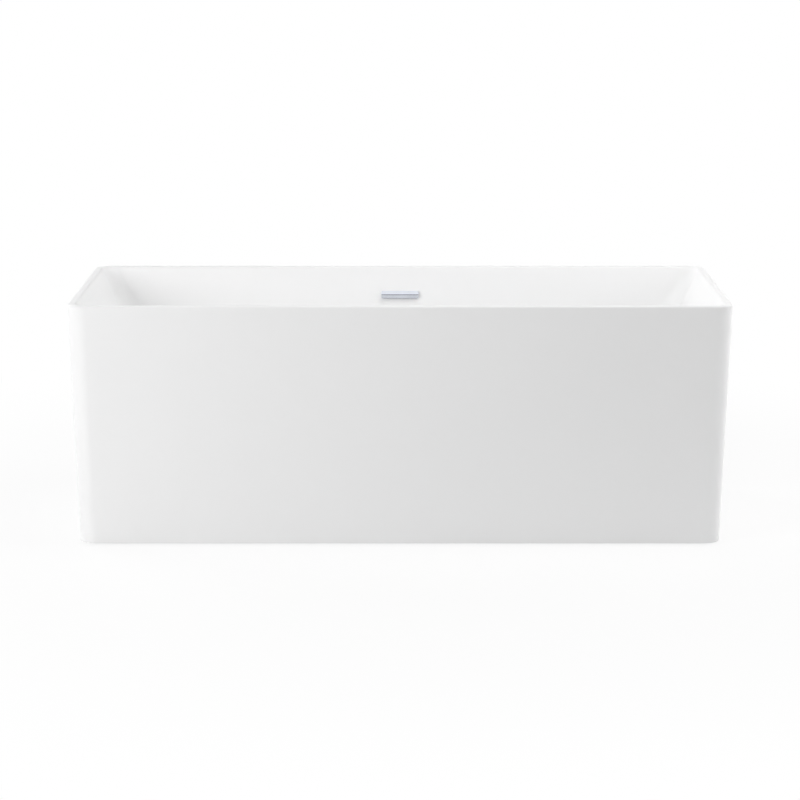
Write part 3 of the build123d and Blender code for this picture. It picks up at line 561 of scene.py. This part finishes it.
class Finish:
    """One material being put together: its shader, its place on the surface and its effects."""

    def __init__(self, name):
        self.material = bpy.data.materials.new(name)
        self.material.use_nodes = True
        self.tree = self.material.node_tree
        self.shader = self.tree.nodes["Principled BSDF"]
        self.place = self.tree.nodes.new("ShaderNodeTexCoord").outputs["Object"]

    def effect(self, group, **values):
        """Place a node group and set its own values."""
        node = self.tree.nodes.new("ShaderNodeGroup")
        node.node_tree = group
        self.tree.links.new(self.place, node.inputs["Vector"])
        for label, value in values.items():
            node.inputs[label].default_value = value
        return node

    def tint(self, base, tint, scale):
        """Base colour that drifts towards a second colour."""
        node = self.effect(tint_group(), Scale=scale, Base=(*base, 1.0), Tint=(*tint, 1.0))
        self.tree.links.new(node.outputs["Color"], self.shader.inputs["Base Color"])
        return node

    def paint_crease_shade(self, tinted, reach):
        """Darken the base colour with painted shade in creases and hollows, from the piece's own
        occlusion.
        """
        shade = self.tree.nodes.new("ShaderNodeAmbientOcclusion")
        shade.only_local = True
        shade.inputs["Distance"].default_value = reach
        self.tree.links.new(tinted.outputs["Color"], shade.inputs["Color"])
        self.tree.links.new(shade.outputs["Color"], self.shader.inputs["Base Color"])

    def roughness(self, low, high, scale):
        """Roughness that drifts between two limits."""
        node = self.effect(mottle_group(), Scale=scale, Low=low, High=high)
        self.tree.links.new(node.outputs["Value"], self.shader.inputs["Roughness"])

    def bump(self, scale, strength, distance, stretch=(1.0, 1.0, 1.0)):
        """Fine surface relief."""
        node = self.effect(grain_group(), Scale=scale, Stretch=stretch)
        relief = self.tree.nodes.new("ShaderNodeBump")
        relief.inputs["Strength"].default_value = strength
        relief.inputs["Distance"].default_value = distance
        self.tree.links.new(node.outputs["Height"], relief.inputs["Height"])
        self.tree.links.new(relief.outputs["Normal"], self.shader.inputs["Normal"])


def darker(value, share):
    """The same colour, darkened by a share."""
    return tuple(channel * (1 - share) for channel in value)


def acrylic_finish(finish):
    """Satin white sanitary acrylic."""
    if "White acrylic" in bpy.data.materials:
        return bpy.data.materials["White acrylic"]
    made = Finish("White acrylic")
    made.tint(finish.acrylic, finish.acrylic_tint, scale=1.6)
    made.roughness(low=0.38, high=0.44, scale=5.0)
    made.bump(scale=160.0, strength=0.02, distance=0.0004)
    made.shader.inputs["IOR"].default_value = 1.49
    made.shader.inputs["Specular IOR Level"].default_value = 0.25
    return made.material


def chrome_finish(finish):
    """Polished chrome with a trace of water marks, and painted shade in its creases."""
    if "Polished chrome" in bpy.data.materials:
        return bpy.data.materials["Polished chrome"]
    made = Finish("Polished chrome")
    marks = made.tint(finish.chrome, darker(finish.chrome, share=0.03), scale=30.0)
    # Painted shade: ambient occlusion darkens the chrome's base colour in its creases and hollows.
    made.paint_crease_shade(marks, reach=0.003)
    made.roughness(low=0.07, high=0.10, scale=45.0)
    made.shader.inputs["Metallic"].default_value = 1.0
    return made.material


def zinc_finish(finish):
    """Bright zinc plating with a fine crystal."""
    if "Bright zinc" in bpy.data.materials:
        return bpy.data.materials["Bright zinc"]
    made = Finish("Bright zinc")
    made.tint(finish.zinc, darker(finish.zinc, share=0.22), scale=240.0)
    made.roughness(low=0.28, high=0.46, scale=180.0)
    made.bump(scale=600.0, strength=0.10, distance=0.0002)
    made.shader.inputs["Metallic"].default_value = 1.0
    return made.material


def tube_finish(finish):
    """Grey powder coat with its orange peel."""
    made = Finish("Powder-coated tube")
    made.tint(finish.tube, darker(finish.tube, share=0.14), scale=14.0)
    made.roughness(low=0.42, high=0.56, scale=30.0)
    made.bump(scale=420.0, strength=0.22, distance=0.0003)
    return made.material


def plywood_finish(finish):
    """Plywood: grain along the board and dark glue lines across its edge."""
    made = Finish("Plywood")
    tree = made.tree
    grain = made.effect(grain_group(), Scale=120.0, Stretch=(0.04, 1.0, 0.3))
    plies = tree.nodes.new("ShaderNodeTexWave")
    plies.bands_direction = "Z"
    plies.inputs["Scale"].default_value = 105.0
    plies.inputs["Distortion"].default_value = 0.4
    lines = tree.nodes.new("ShaderNodeMapRange")
    lines.inputs["From Min"].default_value = 0.05
    lines.inputs["From Max"].default_value = 0.3
    lines.inputs["To Min"].default_value = 0.55
    shade = tree.nodes.new("ShaderNodeMix")
    shade.data_type = "RGBA"
    shade.blend_type = "MULTIPLY"
    shade.inputs["Factor"].default_value = 1.0
    streaks = tree.nodes.new("ShaderNodeValToRGB")
    streaks.color_ramp.elements[0].position = 0.36
    streaks.color_ramp.elements[0].color = (*darker(finish.plywood, share=0.38), 1.0)
    streaks.color_ramp.elements[1].position = 0.62
    streaks.color_ramp.elements[1].color = (*finish.plywood, 1.0)
    link = tree.links.new
    link(made.place, plies.inputs["Vector"])
    link(plies.outputs["Fac"], lines.inputs["Value"])
    link(grain.outputs["Height"], streaks.inputs["Fac"])
    link(streaks.outputs["Color"], shade.inputs["A"])
    link(lines.outputs["Result"], shade.inputs["B"])
    link(shade.outputs["Result"], made.shader.inputs["Base Color"])
    made.roughness(low=0.62, high=0.80, scale=26.0)
    made.bump(scale=90.0, strength=0.25, distance=0.0006, stretch=(0.1, 1.0, 0.4))
    return made.material


def pipe_finish(finish):
    """Moulded pale plastic."""
    made = Finish("Moulded pipe plastic")
    made.tint(finish.pipe, darker(finish.pipe, share=0.07), scale=22.0)
    made.roughness(low=0.36, high=0.48, scale=40.0)
    made.bump(scale=350.0, strength=0.08, distance=0.0003)
    return made.material


def brass_finish(finish):
    """Turned brass, slightly dulled."""
    made = Finish("Turned brass")
    made.tint(finish.brass, darker(finish.brass, share=0.25), scale=120.0)
    made.roughness(low=0.22, high=0.38, scale=140.0)
    made.bump(scale=700.0, strength=0.12, distance=0.0002, stretch=(1.0, 1.0, 6.0))
    made.shader.inputs["Metallic"].default_value = 1.0
    return made.material


def rubber_finish(finish):
    """Black seal rubber."""
    made = Finish("Seal rubber")
    made.tint(finish.rubber, darker(finish.rubber, share=0.4), scale=90.0)
    made.roughness(low=0.62, high=0.80, scale=120.0)
    made.bump(scale=500.0, strength=0.15, distance=0.0003)
    return made.material


def pad_finish(finish):
    """Black moulded foot plastic with a fine spark texture."""
    made = Finish("Foot plastic")
    made.tint(finish.pad, darker(finish.pad, share=0.3), scale=80.0)
    made.roughness(low=0.45, high=0.60, scale=150.0)
    made.bump(scale=900.0, strength=0.20, distance=0.0003)
    return made.material


def adhesive_finish(finish):
    """Cured bead, lumpy and dull."""
    made = Finish("Cured adhesive")
    made.tint(finish.adhesive, darker(finish.adhesive, share=0.15), scale=30.0)
    made.roughness(low=0.55, high=0.75, scale=60.0)
    made.bump(scale=120.0, strength=0.5, distance=0.002)
    return made.material


def dress(material, *nodes):
    """Give CAD nodes that stay in view a finish."""
    for node in nodes:
        mesh = frame["nodes"][node].data
        mesh.materials.clear()
        mesh.materials.append(material)


class TUB_OT_skirt(bpy.types.Operator):
    """Loft the outer skirt from its outlines"""

    bl_idname = "tub.skirt"
    bl_label = "Outer skirt"

    def execute(self, context):
        shape = context.scene.tub_shape
        piece = loft_outlines("skirt_shell", skirt_outlines(shape), shape.corner_steps)
        close_piece(piece, SHELL_SHARP)
        settle(piece, "tub", "white_acrylic", acrylic_finish(context.scene.tub_finish), "outer_skirt")
        return {"FINISHED"}


class TUB_OT_basin(bpy.types.Operator):
    """Loft the bathing well and its rim from their outlines"""

    bl_idname = "tub.basin"
    bl_label = "Bathing well"

    def execute(self, context):
        shape = context.scene.tub_shape
        outlines = basin_outlines(shape, context.scene.tub_fittings)
        piece = loft_outlines("well_shell", outlines, shape.corner_steps)
        close_piece(piece, SHELL_SHARP)
        settle(piece, "tub", "white_acrylic", acrylic_finish(context.scene.tub_finish), "inner_basin")
        return {"FINISHED"}


class TUB_OT_overflow_cover(bpy.types.Operator):
    """Shape the chrome overflow cover and lean it on the wall"""

    bl_idname = "tub.overflow_cover"
    bl_label = "Overflow cover"

    def execute(self, context):
        shape = context.scene.tub_shape
        fit = context.scene.tub_fittings
        half = fit.cover_height / 2
        upper = fit.crease_rise + fit.crease / 2
        lower = fit.crease_rise - fit.crease / 2
        outline = [
            (0, half),
            (fit.cover_top, half),
            (fit.cover_depth, upper),
            (fit.cover_depth - fit.crease, upper),
            (fit.cover_depth - fit.crease, lower),
            (fit.cover_depth, lower),
            (fit.cover_foot, -half),
            (0, -half),
        ]
        piece = open_piece("overflow_bar")
        draw_chain([(-fit.cover_length / 2, -out, up) for out, up in outline])
        bpy.ops.mesh.select_all(action="SELECT")
        bpy.ops.mesh.edge_face_add()
        bpy.ops.mesh.extrude_region_move(TRANSFORM_OT_translate={"value": (fit.cover_length, 0, 0)})
        bpy.ops.mesh.select_all(action="SELECT")
        bpy.ops.mesh.normals_make_consistent(inside=False)
        self.pick_edges(piece, lambda edge: self.is_corner(edge, half))
        bpy.ops.mesh.bevel(offset=fit.cover_corner, segments=8, affect="EDGES")
        self.pick_edges(piece, self.is_front_edge)
        bpy.ops.mesh.bevel(offset=fit.cover_round, segments=3, affect="EDGES")
        self.open_intake(piece, fit)
        bpy.ops.mesh.select_all(action="SELECT")
        bpy.ops.transform.rotate(value=shape.side_slope, orient_axis="X", center_override=(0, 0, 0))
        wall = shape.width / 2 - shape.rim_width - fit.overflow_drop * tan(shape.side_slope)
        move_mesh((0, wall, shape.height - fit.overflow_drop))
        close_piece(piece, SHELL_SHARP)
        settle(piece, "tub", "chrome", chrome_finish(context.scene.tub_finish), "overflow_cover")
        return {"FINISHED"}

    def pick_edges(self, piece, wanted):
        """Select the edges of the mesh being edited that pass a test."""
        bpy.ops.mesh.select_mode(type="EDGE")
        bpy.ops.mesh.select_all(action="DESELECT")
        mesh = bmesh.from_edit_mesh(piece.data)
        for edge in mesh.edges:
            edge.select_set(wanted(edge))
        bmesh.update_edit_mesh(piece.data)

    def is_corner(self, edge, half):
        """True for the four edges that stand off the wall at the corners of the outline."""
        start, end = (vert.co for vert in edge.verts)
        stands_off = abs(start.x - end.x) < SAME and abs(start.z - end.z) < SAME
        return stands_off and abs(abs(start.z) - half) < SAME

    def is_front_edge(self, edge):
        """True for a sharp edge that is clear of the wall."""
        clear = all(vert.co.y < -WALL_CLEARANCE for vert in edge.verts)
        return clear and edge.calc_face_angle() > radians(COVER_SHARP)

    def open_intake(self, piece, fit):
        """Sink the water intake into the underside."""
        bpy.ops.mesh.select_mode(type="FACE")
        bpy.ops.mesh.select_all(action="DESELECT")
        mesh = bmesh.from_edit_mesh(piece.data)
        for face in mesh.faces:
            lowest = face.calc_center_median().z < SAME - fit.cover_height / 2
            face.select_set(lowest and face.normal.z < DOWNWARD)
        bmesh.update_edit_mesh(piece.data)
        bpy.ops.mesh.inset(thickness=fit.intake_wall, depth=0.0)
        bpy.ops.mesh.extrude_region_move(TRANSFORM_OT_translate={"value": (0, 0, fit.intake_depth)})


class TUB_OT_waste(bpy.types.Operator):
    """Turn the plug's domed cap and finish the waste"""

    bl_idname = "tub.waste"
    bl_label = "Waste and plug"

    def execute(self, context):
        fit = context.scene.tub_fittings
        finish = context.scene.tub_finish
        low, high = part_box("plug_cap")
        radius = fit.plug_radius
        sphere = (radius**2 + fit.plug_dome**2) / (2 * fit.plug_dome)
        edge = high.z - fit.plug_dome
        small = fit.plug_round
        profile = [(0, low.z), (radius - small, low.z), (radius, low.z + small)]
        profile += [(radius, edge - small), (radius - small * 0.6, edge)]
        for step in range(1, DOME_STEPS + 1):
            reach = (radius - fit.plug_shoulder) * (1 - step / DOME_STEPS)
            profile.append((reach, high.z - sphere + sqrt(sphere**2 - reach**2)))
        piece = open_piece("plug_dome")
        turn_profile(profile, PLUG_STEPS)
        close_piece(piece, TURNED_SHARP)
        settle(piece, "plug", "chrome", chrome_finish(finish), "plug_cap")
        dress(chrome_finish(finish), "drain_flange")
        return {"FINISHED"}


class TUB_OT_spring(bpy.types.Operator):
    """Wind the spring under the plug"""

    bl_idname = "tub.spring"
    bl_label = "Plug spring"

    def execute(self, context):
        fit = context.scene.tub_fittings
        low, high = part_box("plug_spring")
        wire = fit.spring_wire
        start = (high.x - wire / 2, 0, low.z + wire / 2)
        piece = open_piece("spring_coil")
        bpy.ops.mesh.primitive_circle_add(
            vertices=WIRE_STEPS, radius=wire / 2, location=start, rotation=(pi / 2, 0, 0)
        )
        bpy.ops.object.mode_set(mode="OBJECT")
        bpy.ops.object.modifier_add(type="SCREW")
        winding = piece.modifiers[-1]
        winding.iterations = fit.spring_turns
        rise = high.z - low.z
        winding.screw_offset = (rise - wire) / fit.spring_turns
        winding.steps = COIL_STEPS
        winding.render_steps = COIL_STEPS
        bpy.ops.object.modifier_apply(modifier=winding.name)
        bpy.ops.object.mode_set(mode="EDIT")
        bpy.ops.mesh.select_all(action="SELECT")
        bpy.ops.mesh.fill_holes(sides=0)
        close_piece(piece, WIRE_SHARP)
        settle(piece, "tub", "zinc_steel", zinc_finish(context.scene.tub_finish), "plug_spring")
        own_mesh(piece)
        return {"FINISHED"}


class TUB_OT_feet(bpy.types.Operator):
    """Turn one screw foot and copy it to the four corners"""

    bl_idname = "tub.feet"
    bl_label = "Screw feet"

    def execute(self, context):
        fit = context.scene.tub_fittings
        finish = context.scene.tub_finish
        zinc = zinc_finish(finish)
        plastic = pad_finish(finish)
        pad_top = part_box("foot_pad_front_left")[1].z
        stud_low, stud_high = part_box("foot_stud_front_left")
        pad = self.turn_pad(fit, pad_top)
        stud = self.turn_stud(fit, stud_low.z, stud_high.z, pad_top)
        for foot in FEET:
            spot = sum(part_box(f"foot_pad_{foot}"), Vector()) / 2
            for master, kind, slot, material in (
                (pad, "pad", "foot_plastic", plastic),
                (stud, "stud", "zinc_steel", zinc),
            ):
                piece = self.copy_to(master, f"{kind}_{foot}", (spot.x, spot.y, 0))
                settle(piece, f"foot_{foot}", slot, material, f"foot_{kind}_{foot}")
        for master in (pad, stud):
            bpy.data.objects.remove(master, do_unlink=True)
        return {"FINISHED"}

    def copy_to(self, master, name, place):
        """A copy with its own mesh, moved in edit mode."""
        make_active(master)
        bpy.ops.object.duplicate(linked=False)
        piece = bpy.context.object
        piece.name = name
        piece.data.name = name
        bpy.ops.object.mode_set(mode="EDIT")
        move_mesh(place)
        bpy.ops.object.mode_set(mode="OBJECT")
        return piece

    def turn_pad(self, fit, top):
        """Round pad with rounded edges, a cone and a socket for the stud."""
        edge = fit.pad_edge
        lip = fit.pad_lip
        bore = fit.stud_radius + fit.stud_clearance
        profile = [
            (0, 0),
            (fit.pad_radius - lip, 0),
            (fit.pad_radius - lip / 3, lip / 3),
            (fit.pad_radius, lip),
            (fit.pad_radius, edge - lip),
            (fit.pad_radius - lip / 3, edge - lip / 3),
            (fit.pad_radius - lip, edge),
            (fit.pad_neck + lip, top - lip),
            (fit.pad_neck + lip / 3, top - lip / 3),
            (fit.pad_neck - lip / 3, top),
            (bore, top),
            (bore, edge),
            (0, edge),
        ]
        piece = open_piece("pad_master")
        turn_profile(profile, PAD_STEPS)
        close_piece(piece, TURNED_SHARP)
        return piece

    def turn_stud(self, fit, low, high, pad_top):
        """Rod with a groove at each thread and a hexagon to turn it by."""
        crest = fit.stud_radius
        root = crest - fit.thread_depth
        tip = crest - fit.stud_chamfer
        hexagon_low = pad_top + fit.hexagon_gap
        hexagon_high = hexagon_low + fit.hexagon_height
        profile = [(0, low), (tip, low), (crest, low + fit.stud_chamfer), (crest, hexagon_high)]
        height = hexagon_high
        while height + fit.thread_pitch < high - fit.stud_chamfer:
            profile.append((root, height + fit.thread_pitch * 0.5))
            profile.append((crest, height + fit.thread_pitch))
            height += fit.thread_pitch
        profile += [(tip, high), (0, high)]
        piece = open_piece("stud_master")
        turn_profile(profile, STUD_STEPS)
        bpy.ops.mesh.normals_make_consistent(inside=False)
        bpy.ops.object.mode_set(mode="OBJECT")
        head = open_piece("hexagon_master")
        bpy.ops.mesh.primitive_cylinder_add(
            vertices=6,
            radius=fit.hexagon / sqrt(3),
            depth=fit.hexagon_height,
            location=(0, 0, (hexagon_low + hexagon_high) / 2),
            rotation=(0, 0, pi / 6),
        )
        bpy.ops.mesh.bevel(offset=fit.hexagon_round, segments=2, affect="EDGES")
        bpy.ops.object.mode_set(mode="OBJECT")
        self.join_solids(piece, head)
        close_piece(piece, TURNED_SHARP)
        return piece

    def join_solids(self, piece, other):
        """Make one closed solid of two and leave it in edit mode."""
        make_active(piece)
        bpy.ops.object.modifier_add(type="BOOLEAN")
        union = piece.modifiers[-1]
        union.operation = "UNION"
        union.solver = "EXACT"
        union.object = other
        bpy.ops.object.modifier_apply(modifier=union.name)
        bpy.data.objects.remove(other, do_unlink=True)
        bpy.ops.object.mode_set(mode="EDIT")


class TUB_OT_frame(bpy.types.Operator):
    """Finish the board, the steel frame and its fixings"""

    bl_idname = "tub.frame"
    bl_label = "Frame and board"

    def execute(self, context):
        finish = context.scene.tub_finish
        tubes = [name for name in frame["nodes"] if name.startswith("frame_") and name != "frame_screws"]
        dress(tube_finish(finish), *tubes)
        dress(plywood_finish(finish), "floor_board")
        fixings = ("frame_screws", "overflow_screws", "overflow_bracket")
        foot_nuts = ("foot_weld_nuts", "foot_jam_nuts")
        dress(zinc_finish(finish), *fixings, *foot_nuts)
        dress(adhesive_finish(finish), "rim_bond")
        return {"FINISHED"}


class TUB_OT_plumbing(bpy.types.Operator):
    """Finish the pipes, nuts and seals under the tub"""

    bl_idname = "tub.plumbing"
    bl_label = "Pipes and seals"

    def execute(self, context):
        finish = context.scene.tub_finish
        pipes = ("drain_tee", "tailpiece", "overflow_duct", "overflow_pipe")
        nuts = ("tail_nut", "tee_inlet_nut", "duct_spigot_nut")
        dress(pipe_finish(finish), *pipes, *nuts)
        dress(brass_finish(finish), "drain_locknut", "plug_plunger", "plug_sleeve")
        seals = ("drain_gasket", "drain_washer", "plug_seal", "overflow_seal")
        rings = ("tail_seal", "tee_inlet_seal", "duct_spigot_seal")
        dress(rubber_finish(finish), *seals, *rings)
        return {"FINISHED"}


def seen_directly(tree):
    """One where the camera, a reflection or glass looks at a surface, and zero for other light."""
    path = tree.nodes.new("ShaderNodeLightPath")
    first = tree.nodes.new("ShaderNodeMath")
    first.operation = "MAXIMUM"
    second = tree.nodes.new("ShaderNodeMath")
    second.operation = "MAXIMUM"
    tree.links.new(path.outputs["Is Camera Ray"], first.inputs[0])
    tree.links.new(path.outputs["Is Glossy Ray"], first.inputs[1])
    tree.links.new(first.outputs["Value"], second.inputs[0])
    tree.links.new(path.outputs["Is Transmission Ray"], second.inputs[1])
    return second.outputs["Value"]


class TUB_OT_stage(bpy.types.Operator):
    """Set the pale floor, the white surround, the soft lamps and the camera"""

    bl_idname = "tub.stage"
    bl_label = "Studio"

    def execute(self, context):
        rig = context.scene.tub_studio
        context.scene.view_settings.view_transform = "Standard"
        self.lay_floor(context.scene.tub_finish, rig)
        self.light_world(context.scene, rig)
        self.hang_lamp("Key lamp", rig.key, place=(-3.0, -3.2, 2.0), aim=(-0.2, 0.0, 0.35), size=2.4)
        self.hang_lamp("Left lamp", rig.left, place=(-3.2, 2.6, 2.4), aim=(0.2, 0.0, 0.5), size=2.4)
        self.hang_lamp("Right lamp", rig.right, place=(3.2, 2.6, 2.4), aim=(-0.2, 0.0, 0.5), size=2.4)
        self.hang_lamp("Fill lamp", rig.fill, place=(3.65, -0.45, 1.6), aim=(0.2, 0.0, 0.35), size=2.0)
        self.hang_lamp("Top lamp", rig.top, place=(0.5, -0.4, 2.6), aim=(0.2, 0.1, 0.4), size=1.4)
        self.place_camera(context.scene, rig)
        return {"FINISHED"}

    def lay_floor(self, finish, rig):
        """A wide floor that shows white, with the tub's soft shadow close to it."""
        bpy.ops.object.select_all(action="DESELECT")
        bpy.ops.mesh.primitive_plane_add(size=rig.floor_size)
        floor = bpy.context.object
        floor.name = "studio_floor"
        material = bpy.data.materials.new("Studio floor")
        material.use_nodes = True
        tree = material.node_tree
        paint = tree.nodes["Principled BSDF"]
        paint.inputs["Base Color"].default_value = (*finish.floor, 1.0)
        paint.inputs["Roughness"].default_value = 0.9
        paint.inputs["Specular IOR Level"].default_value = 0.0
        glow = tree.nodes.new("ShaderNodeEmission")
        glow.inputs["Color"].default_value = (1.0, 1.0, 1.0, 1.0)
        place = tree.nodes.new("ShaderNodeTexCoord")
        reach = tree.nodes.new("ShaderNodeVectorMath")
        reach.operation = "LENGTH"
        fade = tree.nodes.new("ShaderNodeMapRange")
        fade.interpolation_type = "SMOOTHSTEP"
        fade.inputs["From Min"].default_value = rig.shadow_near
        fade.inputs["From Max"].default_value = rig.shadow_far
        fade.inputs["To Min"].default_value = 1 - rig.shadow_share
        share = tree.nodes.new("ShaderNodeMath")
        share.operation = "MULTIPLY"
        blend = tree.nodes.new("ShaderNodeMixShader")
        link = tree.links.new
        link(place.outputs["Object"], reach.inputs[0])
        link(reach.outputs["Value"], fade.inputs["Value"])
        link(fade.outputs["Result"], share.inputs[0])
        link(seen_directly(tree), share.inputs[1])
        link(share.outputs["Value"], blend.inputs["Fac"])
        link(paint.outputs["BSDF"], blend.inputs[1])
        link(glow.outputs["Emission"], blend.inputs[2])
        link(blend.outputs["Shader"], tree.nodes["Material Output"].inputs["Surface"])
        floor.data.materials.append(material)

    def light_world(self, scene, rig):
        """Even light all round, white where it is looked at."""
        world = bpy.data.worlds.new("Studio surround")
        world.use_nodes = True
        scene.world = world
        tree = world.node_tree
        even = tree.nodes["Background"]
        even.inputs["Color"].default_value = (1.0, 1.0, 1.0, 1.0)
        even.inputs["Strength"].default_value = rig.ambient
        white = tree.nodes.new("ShaderNodeBackground")
        white.inputs["Color"].default_value = (1.0, 1.0, 1.0, 1.0)
        white.inputs["Strength"].default_value = 1.0
        blend = tree.nodes.new("ShaderNodeMixShader")
        tree.links.new(seen_directly(tree), blend.inputs["Fac"])
        tree.links.new(even.outputs["Background"], blend.inputs[1])
        tree.links.new(white.outputs["Background"], blend.inputs[2])
        tree.links.new(blend.outputs["Shader"], tree.nodes["World Output"].inputs["Surface"])

    def hang_lamp(self, name, watts, place, aim, size):
        """A square soft lamp that is neither seen nor mirrored."""
        bpy.ops.object.light_add(type="AREA", location=place)
        lamp = bpy.context.object
        lamp.name = name
        lamp.data.energy = watts
        lamp.data.size = size
        lamp.rotation_euler = (Vector(aim) - Vector(place)).to_track_quat("-Z", "Y").to_euler()
        lamp.visible_camera = False
        lamp.visible_glossy = False

    def place_camera(self, scene, rig):
        """The photograph's viewpoint: straight on, from a little above."""
        place = (0, -rig.distance, rig.eye)
        bpy.ops.object.camera_add(location=place, rotation=(pi / 2 - rig.pitch, 0, 0))
        camera = bpy.context.object
        camera.data.sensor_width = 36.0
        camera.data.lens = rig.lens
        camera.data.clip_end = 400.0
        scene.camera = camera


class TUB_PT_panel(bpy.types.Panel):
    """Steps that dress the tub, in order"""

    bl_label = "Bathtub"
    bl_idname = "TUB_PT_panel"
    bl_space_type = "VIEW_3D"
    bl_region_type = "UI"
    bl_category = "Bathtub"

    def draw(self, context):
        column = self.layout.column()
        for step in STEPS:
            column.operator(step.bl_idname)
        for group in ("tub_shape", "tub_fittings", "tub_finish", "tub_studio"):
            settings = getattr(context.scene, group)
            box = self.layout.box()
            for name in settings.bl_rna.properties.keys():
                if name not in ("rna_type", "name"):
                    box.prop(settings, name)


STEPS = (
    TUB_OT_skirt,
    TUB_OT_basin,
    TUB_OT_overflow_cover,
    TUB_OT_waste,
    TUB_OT_spring,
    TUB_OT_feet,
    TUB_OT_frame,
    TUB_OT_plumbing,
    TUB_OT_stage,
)
CLASSES = (TubShape, FittingShape, TubFinish, StudioRig) + STEPS + (TUB_PT_panel,)


def register():
    for item in CLASSES:
        bpy.utils.register_class(item)
    bpy.types.Scene.tub_shape = PointerProperty(type=TubShape)
    bpy.types.Scene.tub_fittings = PointerProperty(type=FittingShape)
    bpy.types.Scene.tub_finish = PointerProperty(type=TubFinish)
    bpy.types.Scene.tub_studio = PointerProperty(type=StudioRig)


def unregister():
    for name in ("tub_studio", "tub_finish", "tub_fittings", "tub_shape"):
        delattr(bpy.types.Scene, name)
    for item in reversed(CLASSES):
        bpy.utils.unregister_class(item)


def main():
    """Dress the tub from the shells outwards."""
    register()
    bpy.ops.tub.skirt()
    bpy.ops.tub.basin()
    bpy.ops.tub.overflow_cover()
    bpy.ops.tub.waste()
    bpy.ops.tub.spring()
    bpy.ops.tub.feet()
    bpy.ops.tub.frame()
    bpy.ops.tub.plumbing()
    bpy.ops.tub.stage()


if __name__ == "__main__":
    main()
